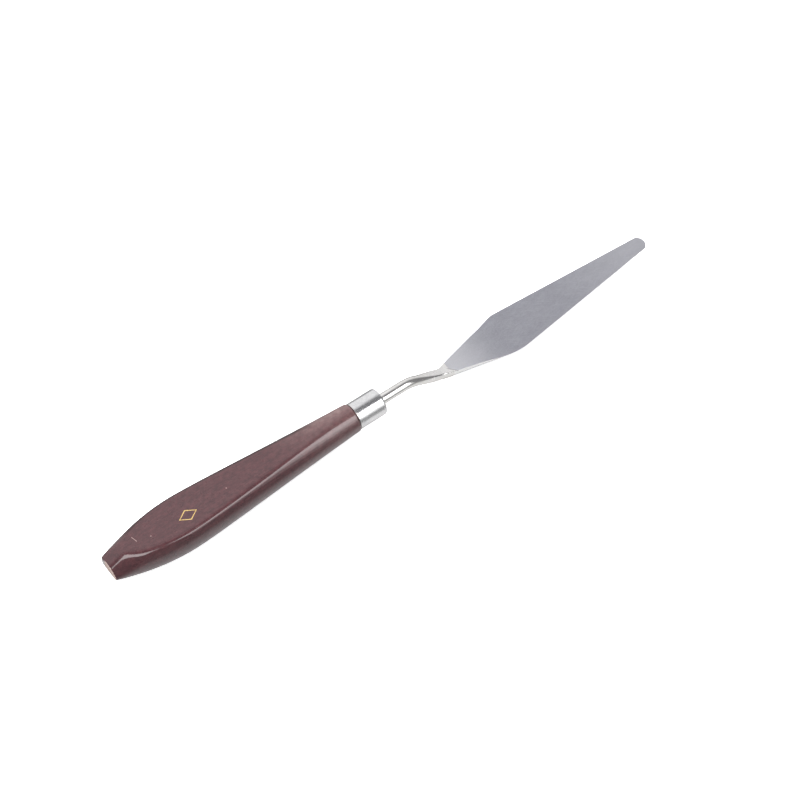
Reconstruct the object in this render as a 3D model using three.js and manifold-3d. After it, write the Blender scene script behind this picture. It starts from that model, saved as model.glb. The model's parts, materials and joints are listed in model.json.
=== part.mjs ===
// Palette knife: turned and planed wooden handle, drawn metal ferrule, and one steel forging
// that is tang, cranked shank and diamond-shaped blade in a single piece.
//
// Every dimension is in millimetres. The knife is designed in the handle's own frame:
// X runs along the handle from the butt (0) to the tip, Y is across, Z is up, and the
// handle's turning axis is Z = 0. The whole group is then laid down as it rests on a table.
//
// The blade bends elastically in use. That flex is carried by one sprung hinge across the
// blade at FLEX_LINE, so the steel is two solids there, with a hair-line slit between them.

import * as THREE from 'three';
import { mergeVertices } from 'three/addons/utils/BufferGeometryUtils.js';
import Module from 'manifold-3d';

const wasm = await Module();
wasm.setup();

// ---- driving dimensions -------------------------------------------------------------------

const GAP = 0.3;                  // clearance kept between neighbouring solids

const HANDLE_LENGTH = 98.5;       // butt face to the shoulder where the ferrule begins
const TOP_FLAT_HEIGHT = 5.8;      // planed flat above the turning axis, parallel to it
const LOWER_FLAT_DEPTH = 5.6;     // lower flat below the axis at the belly; it slopes so that
                                  // it lies flush on a table together with the blade's heel
const BUTT_RADIUS = 4.5;
const BELLY_RADIUS = 9.55;        // the widest turning
const BELLY_X = 29;
const NECK_RADIUS = 5.35;         // at the ferrule
const NECK_ROUND = 0.5;           // softening of the neck's front edge
const BUTT_THICKNESS = 4.0;       // left between the two butt chamfers
const CHAMFER_LENGTH = 6;

const FERRULE_LENGTH = 11.5;
const FERRULE_RADIUS = 5.0;
const FERRULE_WALL = 0.4;
const FERRULE_RIM = 1.0;          // radius of the rolled front edge
const ROD_HOLE_RADIUS = 2.3;

const ROD_RADIUS = 2.0;           // tang and shank are one rod
const TANG_DEPTH = 38;            // tang inside the handle, measured from the neck
const PADDLE_LENGTH = 9;          // hammered flat end of the tang, which keys it in the glue
const PADDLE_THICKNESS = 2.6;
const BORE_RADIUS = 3.0;
const GLUE_PLUG = 2.0;            // glue beyond the end of the tang

const FIRST_BEND_X = 122;         // where the shank turns down
const SECOND_BEND_X = 136;        // where it turns forward again, into the blade
const CRANK_DROP = 7;
const BEND_RADIUS = 11;

const BLADE_PITCH = THREE.MathUtils.degToRad(3.6);
const BLADE_LENGTH = 90;
const SHOULDER_AT = 28;           // widest point, measured from the root
const SHOULDER_HALF = 9.05;
const NEAR_SHOULDER_ROUND = 4.5;  // hand-ground: the corner on the -Y side is the softer one
const FAR_SHOULDER_ROUND = 1.5;
const ROOT_HALF = 1.8;
const ROOT_THICKNESS = 2.7;
const TIP_HALF = 3.0;
const TIP_ROUND = 2.4;            // how far the rounded end reaches beyond the straight flanks
const WEDGE_END = 20.5;           // from here to the tip the blade is one thin leaf
const WEDGE_CROWN = 15;           // the wedge keeps its thickness until about here
const WEDGE_CROWN_LOSS = 0.2;
const LEAF_THICKNESS = 0.5;
const FLEX_LINE = 30;             // hinge line that stands for the bending of the leaf

const STEEL = { color: 0xb4b6ba, roughness: 0.34, metalness: 1 };
const POLISHED_METAL = { color: 0xd9d9dc, roughness: 0.16, metalness: 1 };
const LACQUERED_WOOD = { color: 0x6d4a4c, roughness: 0.3, metalness: 0 };
const CURED_GLUE = { color: 0xd8cda6, roughness: 0.5, metalness: 0 };

// ---- solids -------------------------------------------------------------------------------

// A closed three.js geometry as a manifold solid, with its shared vertices merged.
function toSolid(geometry) {
  const bare = geometry.clone();
  bare.deleteAttribute('normal');
  bare.deleteAttribute('uv');
  const merged = mergeVertices(bare, 1e-4);
  return new wasm.Manifold(new wasm.Mesh({
    numProp: 3,
    vertProperties: new Float32Array(merged.attributes.position.array),
    triVerts: new Uint32Array(merged.index.array),
  }));
}

function toMesh(name, solid, finish) {
  const result = solid.getMesh();
  const geometry = new THREE.BufferGeometry();
  geometry.setAttribute('position', new THREE.BufferAttribute(new Float32Array(result.vertProperties), 3));
  geometry.setIndex(new THREE.BufferAttribute(new Uint32Array(result.triVerts), 1));
  geometry.computeVertexNormals();
  const mesh = new THREE.Mesh(geometry, new THREE.MeshStandardMaterial(finish));
  mesh.name = name;
  return mesh;
}

// A turned solid along X. Each profile point is (radius, distance along X).
function turned(profile, sides) {
  const geometry = new THREE.LatheGeometry(profile, sides);
  geometry.rotateZ(-Math.PI / 2);
  return toSolid(geometry);
}

function cylinderAlongX(radius, fromX, toX, sides) {
  const geometry = new THREE.CylinderGeometry(radius, radius, toX - fromX, sides);
  geometry.rotateZ(-Math.PI / 2);
  geometry.translate((fromX + toX) / 2, 0, 0);
  return toSolid(geometry);
}

// A side outline (X, Z) carried across the knife, centred on Y = 0.
function slabAcross(outline, width) {
  const geometry = new THREE.ExtrudeGeometry(outline, { depth: width, bevelEnabled: false });
  geometry.rotateX(Math.PI / 2);
  geometry.translate(0, width / 2, 0);
  return toSolid(geometry);
}

// A plan outline (X, Y) carried upward from one height to another.
function slabUpward(outline, fromZ, toZ) {
  const geometry = new THREE.ExtrudeGeometry(outline, { depth: toZ - fromZ, bevelEnabled: false });
  geometry.translate(0, 0, fromZ);
  return toSolid(geometry);
}

// ---- handle -------------------------------------------------------------------------------

// The turned outline: a quick swell from the butt to the belly, then a long taper to the neck.
function handleProfile() {
  const swell = new THREE.CubicBezierCurve(
    new THREE.Vector2(BUTT_RADIUS, 0),
    new THREE.Vector2(7.2, 8.5),
    new THREE.Vector2(BELLY_RADIUS, 18),
    new THREE.Vector2(BELLY_RADIUS, BELLY_X),
  );
  const taper = new THREE.CubicBezierCurve(
    new THREE.Vector2(BELLY_RADIUS, BELLY_X),
    new THREE.Vector2(BELLY_RADIUS, 39),
    new THREE.Vector2(7.3, 63),
    new THREE.Vector2(NECK_RADIUS, HANDLE_LENGTH - NECK_ROUND),
  );
  return [...swell.getPoints(12), ...taper.getPoints(14).slice(1)];
}

// Lowest point of the blade's thick root, where the knife touches a table.
const heel = new THREE.Vector2(
  SECOND_BEND_X + ROOT_THICKNESS / 2 * Math.sin(BLADE_PITCH),
  -CRANK_DROP - ROOT_THICKNESS / 2 * Math.cos(BLADE_PITCH),
);

// Slope of the table under the lying knife, seen in the handle's own frame.
const restTilt = Math.atan2(-heel.y - LOWER_FLAT_DEPTH, heel.x - BELLY_X);

const lowerFlat = (x) => -LOWER_FLAT_DEPTH - (x - BELLY_X) * Math.tan(restTilt);

// Height of the butt chamfer at x, where it runs up (or down) to a flat at the given height.
function chamferLine(x, flatHeight) {
  const buttHeight = Math.sign(flatHeight) * BUTT_THICKNESS / 2;
  return buttHeight + (flatHeight - buttHeight) * x / CHAMFER_LENGTH;
}

function makeHandle() {
  const tenonRadius = FERRULE_RADIUS - FERRULE_WALL - GAP;
  const tenonEnd = HANDLE_LENGTH + FERRULE_LENGTH - FERRULE_WALL - FERRULE_RIM;
  const body = turned([
    new THREE.Vector2(0, 0),
    ...handleProfile(),
    new THREE.Vector2(NECK_RADIUS - NECK_ROUND / 2, HANDLE_LENGTH),
    new THREE.Vector2(tenonRadius, HANDLE_LENGTH),
    new THREE.Vector2(tenonRadius, tenonEnd),
    new THREE.Vector2(0, tenonEnd),
  ], 48);

  const behind = -1;
  const ahead = tenonEnd + 1;
  const flats = new THREE.Shape([
    new THREE.Vector2(behind, chamferLine(behind, lowerFlat(CHAMFER_LENGTH))),
    new THREE.Vector2(CHAMFER_LENGTH, lowerFlat(CHAMFER_LENGTH)),
    new THREE.Vector2(ahead, lowerFlat(ahead)),
    new THREE.Vector2(ahead, TOP_FLAT_HEIGHT),
    new THREE.Vector2(CHAMFER_LENGTH, TOP_FLAT_HEIGHT),
    new THREE.Vector2(behind, chamferLine(behind, TOP_FLAT_HEIGHT)),
  ]);
  const boreEnd = HANDLE_LENGTH - TANG_DEPTH - GLUE_PLUG - 2 * GAP;
  const bore = cylinderAlongX(BORE_RADIUS, boreEnd, tenonEnd + 1, 32);
  const solid = body.intersect(slabAcross(flats, 4 * BELLY_RADIUS)).subtract(bore);
  return toMesh('handle', solid, LACQUERED_WOOD);
}

// ---- ferrule ------------------------------------------------------------------------------

// A drawn cup: open at the handle, its front edge rolled in to a flat end with the rod's hole.
function makeFerrule() {
  const rear = HANDLE_LENGTH + GAP;
  const front = HANDLE_LENGTH + FERRULE_LENGTH;
  const outer = FERRULE_RADIUS;
  const inner = FERRULE_RADIUS - FERRULE_WALL;
  const rim = new THREE.EllipseCurve(outer - FERRULE_RIM, front - FERRULE_RIM,
    FERRULE_RIM, FERRULE_RIM, 0, Math.PI / 2);
  const solid = turned([
    new THREE.Vector2(inner, rear),
    new THREE.Vector2(outer, rear),
    ...rim.getPoints(6),
    new THREE.Vector2(ROD_HOLE_RADIUS, front),
    new THREE.Vector2(ROD_HOLE_RADIUS, front - FERRULE_WALL),
    new THREE.Vector2(outer - FERRULE_RIM, front - FERRULE_WALL),
    new THREE.Vector2(inner, front - FERRULE_RIM),
    new THREE.Vector2(inner, rear),
  ], 48);
  return toMesh('ferrule', solid, POLISHED_METAL);
}

// ---- glue ---------------------------------------------------------------------------------

// Cured adhesive between the tang and its bore: a sleeve closed behind the end of the tang.
function makeGlue() {
  const outer = BORE_RADIUS - GAP;
  const inner = ROD_RADIUS + GAP;
  const tangEnd = HANDLE_LENGTH - TANG_DEPTH;
  const rear = tangEnd - GLUE_PLUG - GAP;
  const front = HANDLE_LENGTH + FERRULE_LENGTH - FERRULE_WALL - FERRULE_RIM - GAP;
  const solid = turned([
    new THREE.Vector2(0, rear),
    new THREE.Vector2(outer, rear),
    new THREE.Vector2(outer, front),
    new THREE.Vector2(inner, front),
    new THREE.Vector2(inner, tangEnd - GAP),
    new THREE.Vector2(0, tangEnd - GAP),
  ], 32);
  return toMesh('tang_adhesive', solid, CURED_GLUE);
}

// ---- steel forging ------------------------------------------------------------------------

const blend = (from, to, share) => THREE.MathUtils.lerp(from, to, THREE.MathUtils.clamp(share, 0, 1));

// Centre line of tang and shank in the XZ plane: two straights joined by two rounded bends.
function shankPath() {
  const root = new THREE.Vector2(SECOND_BEND_X, -CRANK_DROP);
  const bend = new THREE.Vector2(FIRST_BEND_X, 0);
  const tangEnd = new THREE.Vector2(HANDLE_LENGTH - TANG_DEPTH, 0);
  const down = root.clone().sub(bend).normalize();
  const alongBlade = new THREE.Vector2(Math.cos(BLADE_PITCH), Math.sin(BLADE_PITCH));
  const crank = Math.atan2(-down.y, down.x);
  const firstCut = BEND_RADIUS * Math.tan(crank / 2);
  const secondCut = BEND_RADIUS * Math.tan((crank + BLADE_PITCH) / 2);

  const beforeBend = bend.clone().add(new THREE.Vector2(-firstCut, 0));
  const afterBend = bend.clone().addScaledVector(down, firstCut);
  const beforeRoot = root.clone().addScaledVector(down, -secondCut);
  const afterRoot = root.clone().addScaledVector(alongBlade, secondCut);
  const path = new THREE.CurvePath();
  path.add(new THREE.LineCurve(tangEnd, beforeBend));
  path.add(new THREE.QuadraticBezierCurve(beforeBend, bend, afterBend));
  path.add(new THREE.LineCurve(afterBend, beforeRoot));
  path.add(new THREE.QuadraticBezierCurve(beforeRoot, root, afterRoot));
  return path;
}

// Half-width, half-height and squareness of the rod's section at a distance x from the butt.
function rodSection(x) {
  const tangEnd = HANDLE_LENGTH - TANG_DEPTH;
  const paddle = 1 - (x - tangEnd) / PADDLE_LENGTH;
  const flattening = (x - FIRST_BEND_X) / (SECOND_BEND_X - FIRST_BEND_X);
  const height = x < FIRST_BEND_X
    ? blend(ROD_RADIUS, PADDLE_THICKNESS / 2, 2 * paddle)
    : blend(ROD_RADIUS, ROOT_THICKNESS / 2 - 0.05, flattening);
  return {
    halfWidth: blend(ROD_RADIUS, ROOT_HALF - 0.1, flattening),
    halfHeight: height,
    squareness: blend(2, 5, 2 * flattening - 1),
  };
}

// The rod: a cylinder whose rings are moved onto the centre line and given their section.
function makeRod() {
  const path = shankPath();
  const stations = [0, 0.06, 0.12];
  for (let share = 0.6; share < 1.001; share += 0.02) {
    stations.push(Math.min(share, 1));
  }
  const sides = 24;
  const geometry = new THREE.CylinderGeometry(1, 1, stations.length - 1, sides, stations.length - 1);
  const position = geometry.attributes.position;
  for (let i = 0; i < position.count; i += 1) {
    const station = Math.round(position.getY(i) + (stations.length - 1) / 2);
    const centre = path.getPointAt(stations[station]);
    const tangent = path.getTangentAt(stations[station]);
    const section = rodSection(centre.x);
    const power = 2 / section.squareness;
    const across = position.getX(i);
    const upward = position.getZ(i);
    const offsetY = Math.sign(across) * section.halfWidth * Math.abs(across) ** power;
    const offsetN = -Math.sign(upward) * section.halfHeight * Math.abs(upward) ** power;
    position.setXYZ(i, centre.x - tangent.y * offsetN, offsetY, centre.y + tangent.x * offsetN);
  }
  return toSolid(geometry);
}

// Plan outline of the blade from its root (0) to its tip: straight flanks, softened shoulders,
// and a round end. Each flank is a straight back edge, a shoulder and a straight front edge.
function bladePlan() {
  const tipStart = BLADE_LENGTH - TIP_ROUND;
  const backSlope = (SHOULDER_HALF - ROOT_HALF) / SHOULDER_AT;
  const frontSlope = (SHOULDER_HALF - TIP_HALF) / (tipStart - SHOULDER_AT);
  const near = NEAR_SHOULDER_ROUND;
  const far = FAR_SHOULDER_ROUND;
  const plan = new THREE.Shape();
  plan.moveTo(0, -ROOT_HALF);
  plan.lineTo(SHOULDER_AT - near, -SHOULDER_HALF + near * backSlope);
  plan.quadraticCurveTo(SHOULDER_AT, -SHOULDER_HALF, SHOULDER_AT + near, -SHOULDER_HALF + near * frontSlope);
  plan.lineTo(tipStart, -TIP_HALF);
  plan.absellipse(tipStart, 0, TIP_ROUND, TIP_HALF, -Math.PI / 2, Math.PI / 2, false);
  plan.lineTo(SHOULDER_AT + far, SHOULDER_HALF - far * frontSlope);
  plan.quadraticCurveTo(SHOULDER_AT, SHOULDER_HALF, SHOULDER_AT - far, SHOULDER_HALF - far * backSlope);
  plan.lineTo(0, ROOT_HALF);
  plan.closePath();
  return plan;
}

// Side outline of the whole blade. The underside is straight; the top keeps the thickness of
// the root at first and then falls to the thin leaf.
function bladeSide() {
  const floor = -ROOT_THICKNESS / 2;
  const leafTop = floor + LEAF_THICKNESS;
  const end = BLADE_LENGTH + 1;
  const side = new THREE.Shape();
  side.moveTo(0, floor);
  side.lineTo(end, floor);
  side.lineTo(end, leafTop);
  side.lineTo(WEDGE_END, leafTop);
  side.quadraticCurveTo(WEDGE_CROWN, floor + ROOT_THICKNESS - WEDGE_CROWN_LOSS, 0, floor + ROOT_THICKNESS);
  side.closePath();
  return side;
}

// The blade between two distances from its root, placed at the end of the shank.
function bladeStretch(from, to) {
  const middle = (from + to) / 2;
  const box = new THREE.BoxGeometry(to - from, 4 * SHOULDER_HALF, 4 * ROOT_THICKNESS);
  box.translate(middle, 0, 0);
  const plan = slabUpward(bladePlan(), -ROOT_THICKNESS, ROOT_THICKNESS);
  const blade = plan.intersect(slabAcross(bladeSide(), 4 * SHOULDER_HALF)).intersect(toSolid(box));
  const pitchDegrees = -THREE.MathUtils.radToDeg(BLADE_PITCH);
  return blade.rotate([0, pitchDegrees, 0]).translate([SECOND_BEND_X, 0, -CRANK_DROP]);
}

function makeShank() {
  const root = bladeStretch(0, FLEX_LINE - GAP / 2);
  return toMesh('tang_and_shank', makeRod().add(root), STEEL);
}

function makeBlade() {
  const leaf = bladeStretch(FLEX_LINE + GAP / 2, BLADE_LENGTH + 1);
  return toMesh('blade', leaf, STEEL);
}

// ---- assembly -----------------------------------------------------------------------------

const knife = new THREE.Group();
knife.add(makeHandle(), makeFerrule(), makeGlue(), makeShank(), makeBlade());

// Lying on a table, the knife rests on its lower flat and on the heel of the blade, so the
// handle's axis leans a little nose-up.
knife.rotation.y = -restTilt;
knife.updateMatrixWorld(true);
const extent = new THREE.Box3().setFromObject(knife, true);
knife.position.set(-(extent.min.x + extent.max.x) / 2, 0, -extent.min.z);
knife.updateMatrixWorld(true);

export default knife;
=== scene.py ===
import json
import math

import bpy
import numpy as np
from mathutils import Matrix, Vector


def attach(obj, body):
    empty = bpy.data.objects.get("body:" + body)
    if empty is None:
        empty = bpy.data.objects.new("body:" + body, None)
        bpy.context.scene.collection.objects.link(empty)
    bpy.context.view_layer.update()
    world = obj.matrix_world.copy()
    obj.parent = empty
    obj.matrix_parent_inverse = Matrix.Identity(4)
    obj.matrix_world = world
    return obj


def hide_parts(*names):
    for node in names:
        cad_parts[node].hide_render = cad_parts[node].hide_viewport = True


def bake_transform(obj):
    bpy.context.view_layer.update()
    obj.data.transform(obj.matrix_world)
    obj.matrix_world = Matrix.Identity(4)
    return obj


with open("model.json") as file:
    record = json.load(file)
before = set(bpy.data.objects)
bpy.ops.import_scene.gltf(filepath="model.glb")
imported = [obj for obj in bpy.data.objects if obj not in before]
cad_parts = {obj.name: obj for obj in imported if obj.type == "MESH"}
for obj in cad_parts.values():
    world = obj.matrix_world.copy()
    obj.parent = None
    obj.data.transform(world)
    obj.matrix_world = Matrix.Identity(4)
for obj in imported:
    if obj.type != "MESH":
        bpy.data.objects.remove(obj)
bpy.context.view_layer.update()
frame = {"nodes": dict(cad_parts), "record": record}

# Palette knife: a turned, planed and lacquered handle, a drawn metal ferrule, a gold-foil
# mark, and one steel forging that is tang, cranked shank and thin flexible blade.
#
# Shapes are worked in millimetres in the handle's own frame: X runs along the handle from
# the butt to the tip, Y is across, Z is up, and the turning axis is Z = 0. The butt face
# mount of the record says where that frame lies in the model.

MM = 0.001

# ---- sizes, in millimetres ------------------------------------------------------------------

HANDLE_LENGTH = 98.5
BUTT_RADIUS = 4.5
BELLY_RADIUS = 9.55
BELLY_X = 29.0
NECK_RADIUS = 5.35
TOP_FLAT = 5.8            # planed flat above the turning axis
LOWER_FLAT = 5.6          # below the axis at the belly, sloping with the table
BUTT_HALF = 2.0           # half of the thickness left between the butt chamfers
CHAMFER_LENGTH = 6.0
PLANED_EDGE = 1.7         # how far the sanding softens the edges of the flats
CRISPER_FROM = 52.0       # the edges get crisper from here
CRISPER_TO = 78.0         # to here,
CRISPER_SHARE = 0.45      # where this much of the softening is left
RIDGE_SOFTNESS = 1.7      # softening where the butt chamfers meet the flats
BEVEL_SOFTNESS = 2.0      # and where the rubbed-down corner meets the turning
TURNING_RIPPLE = 0.05
BUTT_ROUND = 0.35
BUTT_BEVEL = 2.3          # rubbed-down near corner of the butt, measured square to it
BUTT_BEVEL_SLOPE = 0.53
NECK_ROUND = 0.45

FERRULE_GAP = 0.3
FERRULE_LENGTH = 11.5
FERRULE_RADIUS = 5.0
FERRULE_WALL = 0.4
FERRULE_RIM = 1.0
FERRULE_LIP = 0.12        # rounding of the rear edge
ROD_HOLE = 2.3
TENON_RADIUS = 4.3
TENON_END = 108.6
BORE_RADIUS = 3.0
BORE_END = 57.9

ROD_RADIUS = 2.0
TANG_START = 60.5
PADDLE_LENGTH = 9.0
PADDLE_HALF = 1.3
FIRST_BEND_X = 122.0
ROOT_X = 136.0
CRANK_DROP = 7.0
BEND_RADIUS = 11.0

BLADE_PITCH = math.radians(3.6)
BLADE_LENGTH = 90.0
SHOULDER_AT = 28.0
SHOULDER_HALF = 9.05
NEAR_SHOULDER_ROUND = 4.5
FAR_SHOULDER_ROUND = 1.5
ROOT_HALF = 1.8
ROOT_THICKNESS = 2.7
TIP_HALF = 3.0
TIP_ROUND = 2.4
WEDGE_END = 20.5
WEDGE_CROWN = 15.0
WEDGE_CROWN_LOSS = 0.2
LOWER_ROUND = 0.3         # rounding of the lower and upper edges of the blade
UPPER_ROUND = 0.26
LEAF_THICKNESS = 0.4      # a little less than the CAD leaf, which has to stay a sound solid
GRIND_START = 2.3         # where the ground face begins, at the middle of the root
GRIND_SLANT = 0.85        # its edge runs slantwise, nearer the shank on the far side
GRIND_DEPTH = 0.2

FOIL_AT = (30.8, -1.75)
FOIL_LONG = 6.6
FOIL_WIDE = 4.1
FOIL_LINE = 0.42
FOIL_THICKNESS = 0.03

# Small marks on the upper flat: centre, direction, half length and half width.
NICKS = (
    ((11.5, 1.15, TOP_FLAT), (0.23, -1.0, 0.0), 1.35, 0.16),
    ((16.6, -1.15, TOP_FLAT), (1.0, 0.3, 0.0), 0.2, 0.2),
    ((46.7, -0.7, TOP_FLAT), (0.6, 1.0, 0.0), 0.26, 0.18),
)

# ---- the handle's frame in the model --------------------------------------------------------

butt_mount = next(m for m in frame["record"]["mounts"] if m["name"] == "butt_face")
along = -Vector(butt_mount["axis"]).normalized()
across = Vector((0, 1, 0))
upward = along.cross(across)
IN_MODEL = Matrix.Translation(Vector(butt_mount["pos_m"])) @ Matrix(
    (
        (along.x, across.x, upward.x, 0),
        (along.y, across.y, upward.y, 0),
        (along.z, across.z, upward.z, 0),
        (0, 0, 0, 1),
    )
) @ Matrix.Scale(MM, 4)
TABLE_SLOPE = along.z / along.x


def on_blade(s, n=0.0):
    """A point of the handle's frame at distance s along the blade and n above its middle."""
    c, k = math.cos(BLADE_PITCH), math.sin(BLADE_PITCH)
    return ROOT_X + s * c - n * k, -CRANK_DROP + s * k + n * c


# ---- small helpers for node trees -----------------------------------------------------------


def connect(socket, value):
    """Gives an input a value, or links another node's output to it."""
    if isinstance(value, bpy.types.NodeSocket):
        socket.id_data.links.new(value, socket)
    else:
        socket.default_value = value


def put(tree, kind, inputs=None, **settings):
    """Adds a node. Inputs are named or numbered; each takes a value or another node's output."""
    node = tree.nodes.new(kind)
    for name, value in settings.items():
        setattr(node, name, value)
    for key, value in (inputs or {}).items():
        if isinstance(key, str):
            key = next(i for i, s in enumerate(node.inputs) if s.name == key and s.enabled)
        connect(node.inputs[key], value)
    return node


def out(node):
    """The first output that is in use."""
    return next(s for s in node.outputs if s.enabled)


def tree_of(*values):
    """The node tree of the first value that is a node's output."""
    return next(v.id_data for v in values if isinstance(v, bpy.types.NodeSocket))


def maths(operation, *values, clamp=False):
    settings = {"operation": operation, "use_clamp": clamp}
    inputs = dict(enumerate(values))
    return put(tree_of(*values), "ShaderNodeMath", inputs, **settings).outputs[0]


def chained(operation):
    """A function that joins two or more values, from the left, with one operation."""

    def joined(first, *others, clamp=False):
        for other in others[:-1]:
            first = maths(operation, first, other)
        return maths(operation, first, others[-1], clamp=clamp)

    return joined


plus = chained("ADD")
minus = chained("SUBTRACT")
times = chained("MULTIPLY")
over = chained("DIVIDE")
highest = chained("MAXIMUM")
lowest = chained("MINIMUM")


def vector_maths(operation, *values):
    inputs = dict(enumerate(values))
    return out(put(tree_of(*values), "ShaderNodeVectorMath", inputs, operation=operation))


def fade(value, low, high, to_low=0.0, to_high=1.0):
    """Smooth step of a value from low to high."""
    inputs = {
        "Value": value, "From Min": low, "From Max": high, "To Min": to_low, "To Max": to_high,
    }
    return out(put(tree_of(value), "ShaderNodeMapRange", inputs, interpolation_type="SMOOTHSTEP"))


def mix(share, first, second, blend="MIX"):
    tree = tree_of(share, first, second)
    node = put(tree, "ShaderNodeMix", data_type="RGBA", blend_type=blend, clamp_factor=True)
    colours = [s for s in node.inputs if s.enabled]
    for socket, value in zip(colours, (share, first, second)):
        connect(socket, value)
    return out(node)


def blended(share, first, second):
    """A plain number between two others."""
    inputs = {"Factor": share, "A": first, "B": second}
    return out(put(tree_of(share), "ShaderNodeMix", inputs, data_type="FLOAT"))


def band(value, low, low_full, high_full, high):
    """One between two limits and nothing outside them, with soft ends."""
    return times(fade(value, low, low_full), fade(value, high, high_full))


def grey(value):
    """A grey colour, from a plain number or from a node's output."""
    if isinstance(value, bpy.types.NodeSocket):
        inputs = dict(enumerate((value, value, value)))
        return put(tree_of(value), "ShaderNodeCombineColor", inputs).outputs[0]
    return (value, value, value, 1)


def tinted(colour, strength):
    """A colour made darker or lighter by a factor."""
    return mix(1.0, colour, grey(strength), "MULTIPLY")


def parts_of(vector):
    """The X, Y and Z of a vector output."""
    return put(tree_of(vector), "ShaderNodeSeparateXYZ", {0: vector}).outputs


def joined_parts(x, y, z):
    return put(tree_of(x, y, z), "ShaderNodeCombineXYZ", {0: x, 1: y, 2: z}).outputs[0]


def noise(vector, scale, detail=3.0, roughness=0.55):
    inputs = {"Vector": vector, "Scale": scale, "Detail": detail, "Roughness": roughness}
    return put(tree_of(vector), "ShaderNodeTexNoise", inputs).outputs[0]


def feed(node, **inputs):
    """Links values to a node's named inputs."""
    for key, value in inputs.items():
        node.id_data.links.new(value, node.inputs[key.replace("_", " ")])


def node_group(name, inputs, outputs, kind="ShaderNodeTree"):
    """A new group with named sockets, and the nodes that hold them inside it."""
    tree = bpy.data.node_groups.new(name, kind)
    for label, socket_kind, value in inputs:
        socket = tree.interface.new_socket(
            label, in_out="INPUT", socket_type="NodeSocket" + socket_kind
        )
        if value is not None:
            socket.default_value = value
    for label, socket_kind in outputs:
        tree.interface.new_socket(label, in_out="OUTPUT", socket_type="NodeSocket" + socket_kind)
    return tree, tree.nodes.new("NodeGroupInput").outputs, tree.nodes.new("NodeGroupOutput")


def coated(tree, geometry, material):
    """The geometry as real faces with one material."""
    real = put(tree, "GeometryNodeRealizeInstances", {"Geometry": geometry})
    inputs = {"Geometry": real.outputs[0], "Material": material}
    return put(tree, "GeometryNodeSetMaterial", inputs).outputs[0]


# ---- geometry nodes: turning ---------------------------------------------------------------


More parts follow.
